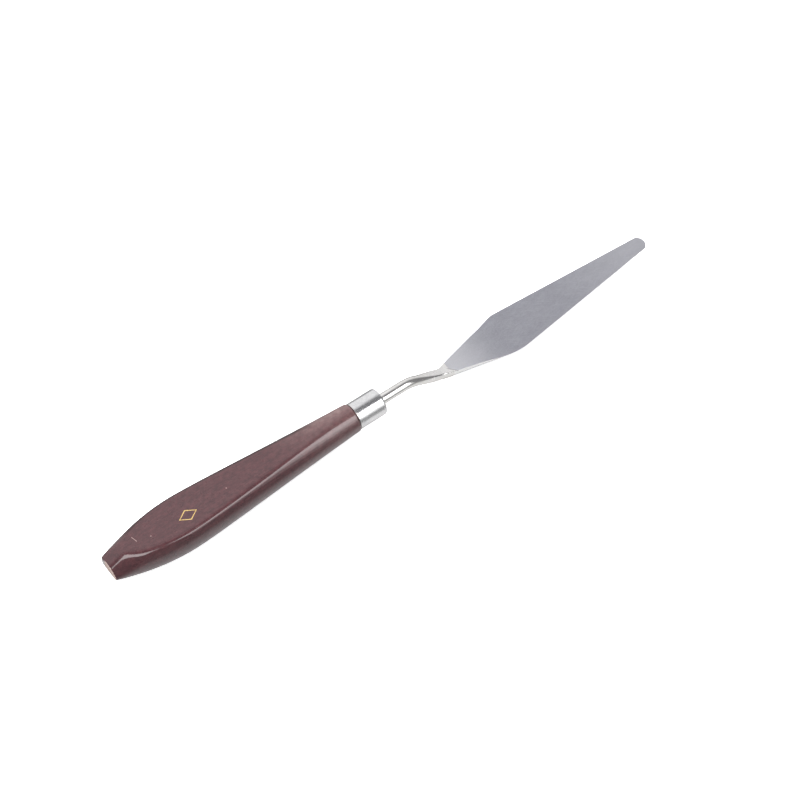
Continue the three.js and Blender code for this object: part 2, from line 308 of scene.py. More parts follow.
def lathe_tree():
    """Turns a profile about X, planes two flats and two butt chamfers on it, and softens the
    edges where they meet the turning."""
    sizes = {
        "Top Flat": 100.0, "Lower Flat": 100.0, "Lower Slope": 0.0, "Belly X": 0.0,
        "Butt Half": 100.0, "Chamfer Length": 1.0, "Bevel Start": 100.0, "Bevel Slope": 0.0,
        "Edge Softness": 1.0, "Ripple": 0.0,
    }
    inputs = [("Profile", "Geometry", None), ("Rings", "Int", 2), ("Sides", "Int", 32)]
    inputs += [(name, "Float", value) for name, value in sizes.items()]
    inputs += [("Material", "Material", None)]
    outputs = [("Geometry", "Geometry")]
    tree, given, finish = node_group("turn_and_plane", inputs, outputs, "GeometryNodeTree")
    tree.is_modifier = True

    columns = plus(given["Sides"], 1.0)
    inputs = {"Size X": 1.0, "Size Y": 1.0, "Vertices X": given["Rings"], "Vertices Y": columns}
    grid = put(tree, "GeometryNodeMeshGrid", inputs)
    index = put(tree, "GeometryNodeInputIndex").outputs[0]
    ring = maths("FLOOR", over(plus(index, 0.5), columns))
    column = minus(index, times(ring, columns))

    def sampled(kind, field):
        inputs = {"Geometry": given["Profile"], "Value": field, "Index": ring}
        return out(put(tree, "GeometryNodeSampleIndex", inputs, data_type=kind, domain="POINT"))

    def own(name):
        return out(put(tree, "GeometryNodeInputNamedAttribute", {"Name": name}, data_type="FLOAT"))

    position = put(tree, "GeometryNodeInputPosition").outputs[0]
    profile = parts_of(sampled("FLOAT_VECTOR", position))
    x, radius = profile["X"], profile["Z"]
    outer = sampled("FLOAT", own("outer_radius"))
    drop = sampled("FLOAT", own("edge_drop"))

    turn = times(over(column, given["Sides"]), 2 * math.pi)
    rise, side = maths("COSINE", turn), maths("SINE", turn)

    chamfer_share = over(x, given["Chamfer Length"])

    def height(flat_here, flat_at_chamfer):
        climb = minus(flat_at_chamfer, given["Butt Half"])
        chamfer = maths("MULTIPLY_ADD", climb, chamfer_share, given["Butt Half"])
        planed = maths("SMOOTH_MIN", flat_here, chamfer, RIDGE_SOFTNESS)
        return minus(planed, drop)

    def slope_at(place):
        away = minus(place, given["Belly X"])
        return maths("MULTIPLY_ADD", away, given["Lower Slope"], given["Lower Flat"])

    top = height(given["Top Flat"], given["Top Flat"])
    low = height(slope_at(x), slope_at(given["Chamfer Length"]))
    tiny = 0.001
    reach_up = over(top, highest(rise, tiny))
    fall = highest(times(rise, -1.0), tiny)
    reach_down = over(low, fall)
    quarter = maths("COSINE", minus(turn, math.pi / 4))
    bevel = maths("MULTIPLY_ADD", x, given["Bevel Slope"], given["Bevel Start"])
    reach_near = over(minus(bevel, drop), highest(quarter, tiny))
    blank = maths("SMOOTH_MIN", outer, reach_near, BEVEL_SOFTNESS)
    hard = lowest(blank, reach_up, reach_down)
    crisper = fade(x, CRISPER_FROM, CRISPER_TO, 1.0, CRISPER_SHARE)
    softness = times(given["Edge Softness"], crisper)
    soft_up = maths("SMOOTH_MIN", blank, reach_up, softness)
    soft = maths("SMOOTH_MIN", soft_up, reach_down, softness)
    share = over(soft, highest(outer, tiny))
    shaped = times(radius, share)

    place = joined_parts(x, side, rise)
    uneven = noise(vector_maths("MULTIPLY", place, (0.21, 1.3, 1.3)), 1.0, 1.0, 0.5)
    swing = times(minus(uneven, 0.5), given["Ripple"])
    final = plus(shaped, times(swing, fade(radius, 0.5, 3.0)))

    turned = joined_parts(x, times(final, side, -1.0), times(final, rise))
    inputs = {"Geometry": grid.outputs["Mesh"], "Position": turned}
    moved = put(tree, "GeometryNodeSetPosition", inputs)
    cut = over(minus(hard, soft), softness)
    edge = times(cut, 6.0, clamp=True)
    inputs = {"Geometry": moved.outputs[0], "Name": "edge", "Value": edge}
    marked = put(
        tree, "GeometryNodeStoreNamedAttribute", inputs, data_type="FLOAT", domain="POINT"
    )
    inputs = {"Geometry": marked.outputs[0], "Distance": 0.0005}
    welded = put(tree, "GeometryNodeMergeByDistance", inputs)
    feed(finish, Geometry=coated(tree, welded.outputs[0], given["Material"]))
    return tree


def foil_tree():
    """A thin ribbon of foil laid round a lozenge."""
    sizes = {
        "Long": FOIL_LONG, "Wide": FOIL_WIDE, "Line": FOIL_LINE, "Thickness": FOIL_THICKNESS,
    }
    inputs = [("Geometry", "Geometry", None)]
    inputs += [(name, "Float", value) for name, value in sizes.items()]
    inputs += [("Place", "Vector", None), ("Material", "Material", None)]
    outputs = [("Geometry", "Geometry")]
    tree, given, finish = node_group("foil_lozenge", inputs, outputs, "GeometryNodeTree")
    tree.is_modifier = True

    half = over(given["Long"], 2.0)
    inputs = {"Width": given["Wide"], "Bottom Height": half, "Top Height": half}
    lozenge = put(tree, "GeometryNodeCurvePrimitiveQuadrilateral", inputs, mode="KITE")
    inputs = {
        "Geometry": lozenge.outputs[0],
        "Rotation": (0.0, 0.0, math.pi / 2),
        "Translation": given["Place"],
    }
    turned = put(tree, "GeometryNodeTransform", inputs)
    inputs = {"Width": given["Line"], "Height": given["Thickness"]}
    section = put(tree, "GeometryNodeCurvePrimitiveQuadrilateral", inputs, mode="RECTANGLE")
    inputs = {"Curve": turned.outputs[0], "Profile Curve": section.outputs[0], "Fill Caps": True}
    ribbon = put(tree, "GeometryNodeCurveToMesh", inputs)
    feed(finish, Geometry=coated(tree, ribbon.outputs[0], given["Material"]))
    return tree


def in_scene(name, data):
    thing = bpy.data.objects.new(name, data)
    bpy.context.scene.collection.objects.link(thing)
    return thing


def keep(mesh, label, values, kind="FLOAT", field="value"):
    """Stores an attribute of the vertices."""
    mesh.attributes.new(label, kind, "POINT").data.foreach_set(field, values)


def grown(name, start, tree, **values):
    """Runs a geometry tree on a start mesh and returns the result as a plain mesh."""
    seed = in_scene(name + "_seed", start)
    modifier = seed.modifiers.new(tree.name, "NODES")
    modifier.node_group = tree
    for item in tree.interface.items_tree:
        if item.item_type == "SOCKET" and item.in_out == "INPUT":
            key = item.name.lower().replace(" ", "_")
            if key in values:
                modifier[item.identifier] = values[key]
    bpy.context.view_layer.update()
    seen = seed.evaluated_get(bpy.context.evaluated_depsgraph_get())
    mesh = bpy.data.meshes.new_from_object(seen)
    mesh.name = name
    seed.modifiers.remove(modifier)
    bpy.data.objects.remove(seed)
    return mesh


def settled(name, mesh, own_frame=None):
    """Puts a finished mesh in the model: own coordinates kept as an attribute, faces outward,
    soft shading, and its place in its vertices."""
    count = len(mesh.vertices)
    if own_frame is None:
        own_frame = np.zeros(count * 3, np.float32)
        mesh.vertices.foreach_get("co", own_frame)
    in_own_frame = np.asarray(own_frame, np.float32).ravel()
    keep(mesh, "maker_mm", in_own_frame, "FLOAT_VECTOR", "vector")
    mesh.transform(IN_MODEL)
    mesh.calc_loop_triangles()
    points = np.zeros(count * 3, np.float32)
    mesh.vertices.foreach_get("co", points)
    points = points.reshape(-1, 3).astype(float)
    corners = np.zeros(len(mesh.loop_triangles) * 3, np.int32)
    mesh.loop_triangles.foreach_get("vertices", corners)
    a, b, c = points[corners.reshape(-1, 3)].transpose(1, 0, 2)
    if np.einsum("ij,ij->i", a, np.cross(b, c)).sum() < 0:
        mesh.flip_normals()
    mesh.polygons.foreach_set("use_smooth", [True] * len(mesh.polygons))
    mesh.set_sharp_from_angle(angle=math.radians(38))
    return in_scene(name, mesh)


def profile_mesh(name, rows):
    """Rows are (x, radius, outer radius, edge drop)."""
    mesh = bpy.data.meshes.new(name)
    edges = [(i, i + 1) for i in range(len(rows) - 1)]
    mesh.from_pydata([(x, 0, r) for x, r, _, _ in rows], edges, [])
    for column, label in ((2, "outer_radius"), (3, "edge_drop")):
        keep(mesh, label, [row[column] for row in rows])
    return mesh


def bezier(points, t):
    p = np.array(points, float)
    while len(p) > 1:
        p = p[:-1] * (1 - t) + p[1:] * t
    return p[0]


def bezier_at(points, x):
    """The second coordinate of a curve at the place where its first, which only grows, is x."""
    low, high = 0.0, 1.0
    for _ in range(40):
        middle = (low + high) / 2
        if bezier(points, middle)[0] < x:
            low = middle
        else:
            high = middle
    return float(bezier(points, low)[1])


def quarter_turn(steps):
    """A quarter of a unit circle in equal steps: distances from its first and last tangent."""
    turns = [i / steps * math.pi / 2 for i in range(steps + 1)]
    return [(1 - math.cos(turn), 1 - math.sin(turn)) for turn in turns]


# ---- shader groups --------------------------------------------------------------------------


def mottle_group():
    """Slow colour drift between two tones, with a share of finer blotches."""
    tree, given, result = node_group(
        "mottle",
        (("Vector", "Vector", None), ("Scale", "Float", 0.1),
         ("Stretch", "Vector", (0.5, 1.0, 1.0)), ("First", "Color", (1, 1, 1, 1)),
         ("Second", "Color", (0, 0, 0, 1)), ("Contrast", "Float", 1.0)),
        (("Color", "Color"), ("Mask", "Float")),
    )
    place = vector_maths("MULTIPLY", given["Vector"], given["Stretch"])
    broad = noise(place, given["Scale"], 2.0)
    fine = noise(place, times(given["Scale"], 5.0), 4.0, 0.65)
    both = maths("MULTIPLY_ADD", fine, 0.45, times(broad, 0.55))
    centred = minus(both, 0.5)
    mask = maths("MULTIPLY_ADD", centred, given["Contrast"], 0.5, clamp=True)
    feed(result, Color=mix(mask, given["First"], given["Second"]), Mask=mask)
    return tree


def grain_group():
    """Long wood fibres with short dark pores."""
    tree, given, result = node_group(
        "wood_grain",
        (("Vector", "Vector", None), ("Fibre Width", "Float", 0.5), ("Fibre Length", "Float", 18.0),
         ("Pore Amount", "Float", 0.5)),
        (("Fibre", "Float"), ("Pores", "Float"), ("Height", "Float")),
    )
    split = parts_of(given["Vector"])
    bend = noise(vector_maths("MULTIPLY", given["Vector"], (0.03, 0.12, 0.12)), 1.0, 2.0)
    sway = times(minus(bend, 0.5), 3.0)
    run = over(split["X"], given["Fibre Length"])
    wide = over(plus(split["Y"], sway), given["Fibre Width"])
    deep = over(split["Z"], given["Fibre Width"])
    stretched = joined_parts(run, wide, deep)
    fibre = noise(stretched, 1.0, 3.0, 0.6)
    short = vector_maths("MULTIPLY", stretched, (5.0, 1.6, 1.6))
    inputs = {"Vector": short, "Scale": 1.0}
    pits = put(tree, "ShaderNodeTexVoronoi", inputs, feature="F1").outputs["Distance"]
    pores = times(fade(pits, 0.26, 0.1), given["Pore Amount"])
    feed(result, Fibre=fibre, Pores=pores, Height=minus(times(fibre, 0.4), pores))
    return tree


def orange_peel_group():
    """The gentle waviness of a dipped or sprayed finish."""
    tree, given, result = node_group(
        "orange_peel",
        (("Vector", "Vector", None), ("Size", "Float", 1.2), ("Flow", "Float", 1.0)),
        (("Height", "Float"),),
    )
    size = joined_parts(times(given["Size"], given["Flow"]), given["Size"], given["Size"])
    place = vector_maths("DIVIDE", given["Vector"], size)
    wave = noise(place, 1.0, 1.0, 0.4)
    fine = noise(place, 4.0, 1.0, 0.4)
    feed(result, Height=maths("MULTIPLY_ADD", fine, 0.15, wave))
    return tree


def rotated(vector, angle):
    inputs = {"Vector": vector, "Angle": angle}
    node = put(tree_of(vector), "ShaderNodeVectorRotate", inputs, rotation_type="Z_AXIS")
    return node.outputs[0]


def scratches_group():
    """Hair-fine rubbing marks in two crossing directions."""
    tree, given, result = node_group(
        "fine_scratches",
        (("Vector", "Vector", None), ("Length", "Float", 6.0), ("Width", "Float", 0.06),
         ("Angle", "Float", 0.3), ("Amount", "Float", 1.0)),
        (("Mask", "Float"),),
    )
    size = joined_parts(given["Length"], given["Width"], given["Width"])
    masks = []
    for share, seed in ((1.0, 0.0), (-0.7, 31.7)):
        turned = rotated(given["Vector"], times(given["Angle"], share))
        place = vector_maths("ADD", vector_maths("DIVIDE", turned, size), (seed, seed, seed))
        masks.append(fade(noise(place, 1.0, 0.0), 0.66, 0.75))
    feed(result, Mask=times(highest(*masks), given["Amount"], clamp=True))
    return tree


def specks_group():
    """Scattered dust and tiny pinholes."""
    tree, given, result = node_group(
        "specks",
        (("Vector", "Vector", None), ("Spacing", "Float", 3.0), ("Size", "Float", 0.07)),
        (("Mask", "Float"),),
    )
    spacing = joined_parts(given["Spacing"], given["Spacing"], given["Spacing"])
    inputs = {"Vector": vector_maths("DIVIDE", given["Vector"], spacing), "Scale": 1.0}
    cells = put(tree, "ShaderNodeTexVoronoi", inputs, feature="F1").outputs
    lucky = put(tree, "ShaderNodeSeparateColor", {0: cells["Color"]}).outputs[0]
    near = times(cells["Distance"], given["Spacing"])
    size = times(given["Size"], plus(lucky, 0.4))
    feed(result, Mask=fade(over(near, size), 1.0, 0.55))
    return tree


def nick_group():
    """One small straight mark on the surface."""
    tree, given, result = node_group(
        "nick",
        (("Vector", "Vector", None), ("Centre", "Vector", (0, 0, 0)),
         ("Direction", "Vector", (1, 0, 0)), ("Half Length", "Float", 1.0),
         ("Half Width", "Float", 0.1)),
        (("Mask", "Float"),),
    )
    away = vector_maths("SUBTRACT", given["Vector"], given["Centre"])
    heading = vector_maths("NORMALIZE", given["Direction"])
    run = vector_maths("DOT_PRODUCT", away, heading)
    inputs = {0: heading, "Scale": run}
    foot = put(tree, "ShaderNodeVectorMath", inputs, operation="SCALE").outputs[0]
    off = vector_maths("DISTANCE", away, foot)
    wide = fade(over(off, given["Half Width"]), 1.0, 0.45)
    long = fade(over(maths("ABSOLUTE", run), given["Half Length"]), 1.0, 0.8)
    feed(result, Mask=times(wide, long))
    return tree


def brushed_group():
    """Parallel grinding or drawing lines."""
    tree, given, result = node_group(
        "brushed_lines",
        (("Vector", "Vector", None), ("Line Size", "Vector", (8.0, 0.1, 0.1)),
         ("Angle", "Float", 0.0)),
        (("Line", "Float"),),
    )
    turned = rotated(given["Vector"], given["Angle"])
    place = vector_maths("DIVIDE", turned, given["Line Size"])
    feed(result, Line=noise(place, 1.0, 4.0, 0.7))
    return tree


GROUPS = {
    "mottle": mottle_group(),
    "grain": grain_group(),
    "orange_peel": orange_peel_group(),
    "scratches": scratches_group(),
    "specks": specks_group(),
    "nick": nick_group(),
    "brushed": brushed_group(),
}


def use(group, **inputs):
    """Places a shader group in the tree that its inputs come from."""
    tree = tree_of(*inputs.values())
    node = tree.nodes.new("ShaderNodeGroup")
    node.node_tree = GROUPS[group]
    for key, value in inputs.items():
        connect(node.inputs[key.replace("_", " ").title()], value)
    return node.outputs


def new_finish(name, **constants):
    """A material with its Principled BSDF; constants go on the shader's own sockets."""
    material = bpy.data.materials.new(name)
    material.use_nodes = True
    tree = material.node_tree
    shader = next(n for n in tree.nodes if n.type == "BSDF_PRINCIPLED")
    for key, value in constants.items():
        shader.inputs[key.replace("_", " ")].default_value = value
    return material, tree, shader


def maker_place(tree):
    node = put(tree, "ShaderNodeAttribute", attribute_type="GEOMETRY", attribute_name="maker_mm")
    return node.outputs["Vector"]


def own_value(tree, name):
    node = put(tree, "ShaderNodeAttribute", attribute_type="GEOMETRY", attribute_name=name)
    return node.outputs["Fac"]


def bumped(shader, *layers):
    """Bump layers of (height, depth in millimetres, strength), one on the other."""
    normal = None
    for height, depth, strength in layers:
        inputs = {"Height": height, "Distance": depth * MM, "Strength": strength}
        node = put(tree_of(height), "ShaderNodeBump", inputs)
        if normal is not None:
            feed(node, Normal=normal)
        normal = node.outputs[0]
    feed(shader, Normal=normal)


# ---- finishes -------------------------------------------------------------------------------

LACQUER_DARK = (0.036, 0.0112, 0.0138, 1)
LACQUER_RED = (0.068, 0.0212, 0.0245, 1)
LACQUER_SHADE = (0.014, 0.006, 0.007, 1)
LACQUER_WEAR_AND_SHEEN = (0.30, 0.20, 0.19, 1)
LACQUER_PORE = (0.02, 0.009, 0.01, 1)
BARE_WOOD = (0.68, 0.55, 0.50, 1)
BARE_WOOD_DARK = (0.48, 0.36, 0.32, 1)

# Where the lacquer is paler: a dusty haze towards the neck, and on the far side more of it as a
# painted sheen.
HAZE_AND_SHEEN_ALONG = (62.0, 98.0)
HAZE_AND_SHEEN_ACROSS = (-1.5, 3.0)
HAZE_AND_SHEEN_NEAR_SIDE = 0.8
HAZE_AND_SHEEN_FAR_SIDE = 1.9

# A strip below the upper flat's far edge is painted darker and has less coat. Each end fades in or
# out.
STRIP_HEIGHT = (3.9, 4.7, 5.5, 5.74)
STRIP_LENGTH = (7.0, 14.0, 76.0, 88.0)
STRIP_SIDE = (1.0, 2.5)

FERRULE_DARK = (0.58, 0.58, 0.59, 1)
FERRULE_LIGHT = (0.78, 0.775, 0.77, 1)
FERRULE_DUST = (0.35, 0.33, 0.32, 1)
FERRULE_PAINTED_HIGHLIGHT = (0.86, 0.74, 0.70, 1)

STEEL_DARK = (0.315, 0.315, 0.349, 1)
STEEL_LIGHT = (0.390, 0.390, 0.430, 1)
STEEL_PAINTED_BRIGHT = (0.86, 0.86, 0.88, 1)
SHANK_DARK = (0.58, 0.565, 0.54, 1)
SHANK_LIGHT = (0.82, 0.81, 0.79, 1)
DRESSED_STEEL = (0.71, 0.70, 0.685, 1)
EDGE_PAINTED_HIGHLIGHT = (0.80, 0.80, 0.79, 1)
STEEL_PAINTED_SHADE = (0.22, 0.22, 0.23, 1)
STEEL_DUST = (0.30, 0.30, 0.30, 1)
STEEL_SCUFF = (0.72, 0.72, 0.74, 1)
FOOT_SHADE_LENGTH = (3.0, 5.0, 18.0, 22.0)


def lacquered_wood():
    material, tree, shader = new_finish(
        "maroon_lacquer", Coat_Weight=1.0, Coat_Roughness=0.07, Coat_IOR=1.55,
        Specular_IOR_Level=0.16,
    )
    place = maker_place(tree)
    where = parts_of(place)
    tone = use(
        "mottle", vector=place, scale=0.7, stretch=(0.7, 1.0, 1.0),
        first=LACQUER_DARK, second=LACQUER_RED, contrast=3.4,
    )
    grain = use("grain", vector=place, fibre_width=0.32, fibre_length=14.0, pore_amount=0.3)
    streaked = tinted(tone["Color"], fade(grain["Fibre"], 0.3, 0.7, 0.86, 1.14))
    pored = mix(times(grain["Pores"], 0.25), streaked, LACQUER_PORE)

    edge = fade(own_value(tree, "edge"), 0.55, 1.0)
    rubbed = times(edge, fade(noise(place, 0.9, 4.0), 0.52, 0.7), 0.16)
    scuffs = use("scratches", vector=place, length=7.0, width=0.09, angle=0.5, amount=0.5)["Mask"]
    dust = use("specks", vector=place, spacing=4.5, size=0.10)["Mask"]
    nicks = highest(*(
        use(
            "nick", vector=place, centre=centre, direction=heading,
            half_length=length, half_width=width,
        )["Mask"]
        for centre, heading, length, width in NICKS
    ))
    # Dusty haze towards the neck; the extra paleness on the far side is a painted sheen.
    dust_haze_and_sheen = times(
        fade(where["X"], *HAZE_AND_SHEEN_ALONG),
        fade(noise(place, 0.5, 4.0), 0.2, 0.8, 0.10, 0.26),
        fade(where["Y"], *HAZE_AND_SHEEN_ACROSS, HAZE_AND_SHEEN_NEAR_SIDE, HAZE_AND_SHEEN_FAR_SIDE),
    )
    pale = highest(times(dust, 0.35), times(nicks, 0.85), times(scuffs, 0.07), rubbed, dust_haze_and_sheen)
    # Darker colour and less coat on the strip below the upper flat's far edge.
    darker_strip = times(
        band(where["Z"], *STRIP_HEIGHT),
        band(where["X"], *STRIP_LENGTH),
        fade(where["Y"], *STRIP_SIDE),
    )
    painted = mix(times(darker_strip, 0.7), mix(pale, pored, LACQUER_WEAR_AND_SHEEN), LACQUER_SHADE)

    # Bare end grain shows on the butt face. A ragged lip of lacquer goes round it and laps over
    # its far end.
    ragged = times(minus(noise(place, 1.6, 3.0), 0.5), 0.7)
    at_end = fade(plus(where["X"], ragged), 0.34, 0.12)
    bare = times(at_end, fade(plus(where["Y"], ragged), 2.4, 1.7))
    rings = use(
        "mottle", vector=place, scale=1.1, stretch=(0.2, 0.6, 2.2),
        first=BARE_WOOD_DARK, second=BARE_WOOD, contrast=2.2,
    )

    gloss = plus(fade(noise(place, 0.45, 4.0), 0.3, 0.75, 0.26, 0.42), times(pale, 0.25))
    coat = minus(1.0, highest(bare, times(nicks, 0.8)))
    feed(
        shader,
        Base_Color=mix(bare, painted, rings["Color"]),
        Roughness=maths("MULTIPLY_ADD", bare, 0.4, gloss, clamp=True),
        Coat_Weight=times(coat, fade(darker_strip, 0.0, 1.0, 1.0, 0.35)),
    )
    peel = use("orange_peel", vector=place, size=1.3, flow=3.0)["Height"]
    bumped(
        shader, (grain["Height"], 0.02, 0.5), (peel, 0.02, 0.6), (nicks, 0.05, 0.5),
        (rings["Mask"], 0.05, 0.25),
    )
    return material


def ferrule_metal():
    material, tree, shader = new_finish("polished_ferrule", Metallic=1.0, Specular_IOR_Level=0.5)
    place = maker_place(tree)
    drawn = use("brushed", vector=place, line_size=(7.0, 0.10, 0.10))["Line"]
    tone = use(
        "mottle", vector=place, scale=0.5, stretch=(0.6, 1.0, 1.0),
        first=FERRULE_DARK, second=FERRULE_LIGHT, contrast=2.0,
    )
    scuffs = use("scratches", vector=place, length=3.0, width=0.05, angle=1.2, amount=0.8)["Mask"]
    dust = use("specks", vector=place, spacing=1.6, size=0.06)["Mask"]
    start = HANDLE_LENGTH + FERRULE_GAP
    # Painted highlight: the rear rim is painted a pale pinkish tint and made rougher, for the light
    # line it shows.
    rear = fade(parts_of(place)["X"], start + 0.55, start + 0.2)
    painted_rim_highlight = times(rear, fade(noise(place, 1.4, 3.0), 0.4, 0.65))
    clean = mix(times(dust, 0.5), tone["Color"], FERRULE_DUST)
    gloss = plus(fade(drawn, 0.3, 0.7, 0.10, 0.20), times(scuffs, 0.2))
    feed(
        shader,
        Base_Color=mix(times(painted_rim_highlight, 0.5), clean, FERRULE_PAINTED_HIGHLIGHT),
        Roughness=maths("MULTIPLY_ADD", painted_rim_highlight, 0.2, gloss),
    )
    wave = use("orange_peel", vector=place, size=2.0, flow=2.0)["Height"]
    bumped(shader, (wave, 0.03, 0.5), (drawn, 0.004, 0.5), (scuffs, 0.01, 0.4))
    return material


def forged_steel():
    """Satin ground faces on the blade, a smoother warm skin on the shank, and a dressed patch
    on the root."""
    material, tree, shader = new_finish("forged_steel", Metallic=1.0, Specular_IOR_Level=0.5)
    place = maker_place(tree)
    where = parts_of(place)
    satin = own_value(tree, "satin")
    edge = own_value(tree, "edge")
    hand = use("brushed", vector=place, line_size=(5.0, 0.09, 0.3), angle=0.10)["Line"]
    cross = use("brushed", vector=place, line_size=(0.35, 0.35, 0.35))["Line"]
    tone = use(
        "mottle", vector=place, scale=0.22, stretch=(0.4, 1.0, 1.0),
        first=STEEL_DARK, second=STEEL_LIGHT, contrast=1.9,
    )
    warm = use(
        "mottle", vector=place, scale=0.35, stretch=(0.3, 1.2, 1.2),
        first=SHANK_DARK, second=SHANK_LIGHT, contrast=2.0,
    )
    grained = tinted(tone["Color"], fade(plus(hand, cross), 0.75, 1.25, 0.86, 1.12))
    # Painted highlight: the blade is painted brighter towards its root and towards its tip.
    painted_bright_ends = highest(fade(where["X"], 26.0, 3.0), fade(where["X"], 45.0, 90.0, 0.0, 0.42))
    ground_steel = mix(times(painted_bright_ends, 0.45), grained, STEEL_PAINTED_BRIGHT)
    body = mix(satin, warm["Color"], ground_steel)
    body = mix(times(own_value(tree, "dressed"), 0.9), body, DRESSED_STEEL)

    # Painted shade: thin dark lines where the ground face begins, and along the foot of the wedge's
    # walls.
    beyond_lip = plus(times(where["Y"], GRIND_SLANT), where["X"])
    off_lip = maths("ABSOLUTE", minus(beyond_lip, GRIND_START + 0.1))
    step = times(fade(off_lip, 0.42, 0.12), fade(where["Y"], 0.3, -0.9), fade(where["Z"], 0.5, 0.9))
    painted_foot_shade = times(fade(where["Z"], -0.88, -1.0), band(where["X"], *FOOT_SHADE_LENGTH), fade(edge, 0.15, 0.5))
    # Painted highlight: the blade's edge walls are painted near white.
    painted_edge_highlight = mix(edge, body, EDGE_PAINTED_HIGHLIGHT)
    shade_lined = mix(times(highest(step, painted_foot_shade), 0.7), painted_edge_highlight, STEEL_PAINTED_SHADE)

    scuffs = use("scratches", vector=place, length=5.0, width=0.07, angle=0.6, amount=0.7)["Mask"]
    dust = use("specks", vector=place, spacing=3.2, size=0.08)["Mask"]
    flecked = mix(times(dust, 0.4), shade_lined, STEEL_DUST)
    polished = fade(noise(place, 0.8, 3.0), 0.3, 0.7, 0.14, 0.25)
    gloss = blended(satin, polished, fade(hand, 0.3, 0.7, 0.34, 0.50))
    feed(
        shader,
        Base_Color=mix(times(scuffs, 0.25), flecked, STEEL_SCUFF),
        Roughness=blended(edge, gloss, 0.3),
    )
    forging = use("orange_peel", vector=place, size=2.4, flow=2.2)["Height"]
    bumped(
        shader, (forging, 0.05, 0.35), (times(hand, satin), 0.006, 0.6), (cross, 0.003, 0.4),
        (scuffs, 0.01, 0.3),
    )
    return material


def cured_adhesive():
    material, tree, shader = new_finish("cured_epoxy", Coat_Weight=0.2, Coat_Roughness=0.3)
    in_metres = put(tree, "ShaderNodeTexCoord").outputs["Object"]
    place = vector_maths("MULTIPLY", in_metres, (1 / MM, 1 / MM, 1 / MM))
    tone = use(
        "mottle", vector=place, scale=0.6, stretch=(1.0, 1.0, 1.0),
        first=(0.50, 0.42, 0.24, 1), second=(0.72, 0.64, 0.43, 1), contrast=2.0,
    )
    bubbles = use("specks", vector=place, spacing=0.9, size=0.14)["Mask"]
    feed(
        shader,
        Base_Color=mix(times(bubbles, 0.6), tone["Color"], (0.86, 0.82, 0.66, 1)),
        Roughness=fade(tone["Mask"], 0.0, 1.0, 0.35, 0.6),
    )
    runs = use("orange_peel", vector=place, size=0.8, flow=4.0)["Height"]
    bumped(shader, (runs, 0.08, 0.6), (bubbles, 0.05, -0.5))
    return material


def gold_foil():
    material, tree, shader = new_finish("gold_foil", Specular_IOR_Level=0.5)
    place = maker_place(tree)
    grain = noise(place, 5.0, 4.0)
    lost = fade(noise(place, 1.9, 4.0, 0.7), 0.56, 0.66)
    tone = use(
        "mottle", vector=place, scale=1.2, stretch=(1.0, 1.0, 1.0),
        first=(0.70, 0.44, 0.13, 1), second=(0.95, 0.74, 0.34, 1), contrast=2.0,
    )
    feed(
        shader,
        Base_Color=mix(times(lost, 0.8), tone["Color"], (0.16, 0.075, 0.06, 1)),
        Metallic=fade(lost, 0.0, 1.0, 0.85, 0.05),
        Roughness=fade(grain, 0.3, 0.7, 0.28, 0.5),
    )
    bumped(shader, (grain, 0.02, 0.6), (lost, 0.01, -0.5))
    return material


LACQUER = lacquered_wood()
FERRULE_FINISH = ferrule_metal()
STEEL = forged_steel()
EPOXY = cured_adhesive()
FOIL = gold_foil()

TURNING = lathe_tree()

# ---- handle ---------------------------------------------------------------------------------


def handle_radius(x):
    """Radius of the turning: a quick swell to the belly, then a long taper to the neck."""
    swell = ((0.0, BUTT_RADIUS), (8.5, 7.2), (18.0, BELLY_RADIUS), (BELLY_X, BELLY_RADIUS))
    taper = (
        (BELLY_X, BELLY_RADIUS), (39.0, BELLY_RADIUS), (63.0, 7.3),
        (HANDLE_LENGTH - NECK_ROUND, NECK_RADIUS),
    )
    return bezier_at(swell if x < BELLY_X else taper, x)


def make_handle():
    rows = [(0.0, r, BUTT_RADIUS - BUTT_ROUND, BUTT_ROUND) for r in (0.0, 1.2, 2.4, 3.4)]
    for along_axis, inward in quarter_turn(6):
        x, drop = BUTT_ROUND * along_axis, BUTT_ROUND * inward
        radius = handle_radius(x) - drop
        rows.append((x, radius, radius, drop))
    fine = np.arange(BUTT_ROUND + 0.2, 9.0, 0.2)
    coarse = np.linspace(9.0, HANDLE_LENGTH - NECK_ROUND, 128)
    for x in [*fine, *coarse]:
        radius = handle_radius(float(x))
        rows.append((float(x), radius, radius, 0.0))
    for inward, short in quarter_turn(5)[1:]:
        radius = NECK_RADIUS - NECK_ROUND * inward
        rows.append((HANDLE_LENGTH - NECK_ROUND * short, radius, radius, 0.0))
    inside = (
        (HANDLE_LENGTH, TENON_RADIUS), (HANDLE_LENGTH + 0.1, TENON_RADIUS), (103.5, TENON_RADIUS),
        (TENON_END - 0.2, TENON_RADIUS), (TENON_END, TENON_RADIUS - 0.2), (TENON_END, BORE_RADIUS),
        (TENON_END - 0.1, BORE_RADIUS), (84.0, BORE_RADIUS), (BORE_END, BORE_RADIUS),
        (BORE_END, 1.5), (BORE_END, 0.0),
    )
    rows += [(x, r, max(r, 1.5), 0.0) for x, r in inside]
    mesh = grown(
        "handle_body", profile_mesh("handle_profile", rows), TURNING,
        rings=len(rows), sides=200, top_flat=TOP_FLAT, lower_flat=LOWER_FLAT,
        lower_slope=TABLE_SLOPE, belly_x=BELLY_X, butt_half=BUTT_HALF,
        chamfer_length=CHAMFER_LENGTH, bevel_start=BUTT_BEVEL, bevel_slope=BUTT_BEVEL_SLOPE,
        edge_softness=PLANED_EDGE, ripple=TURNING_RIPPLE, material=LACQUER,
    )
    piece = settled("handle_body", mesh)
    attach(piece, "grip")
    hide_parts("handle")
    return piece


# ---- ferrule --------------------------------------------------------------------------------


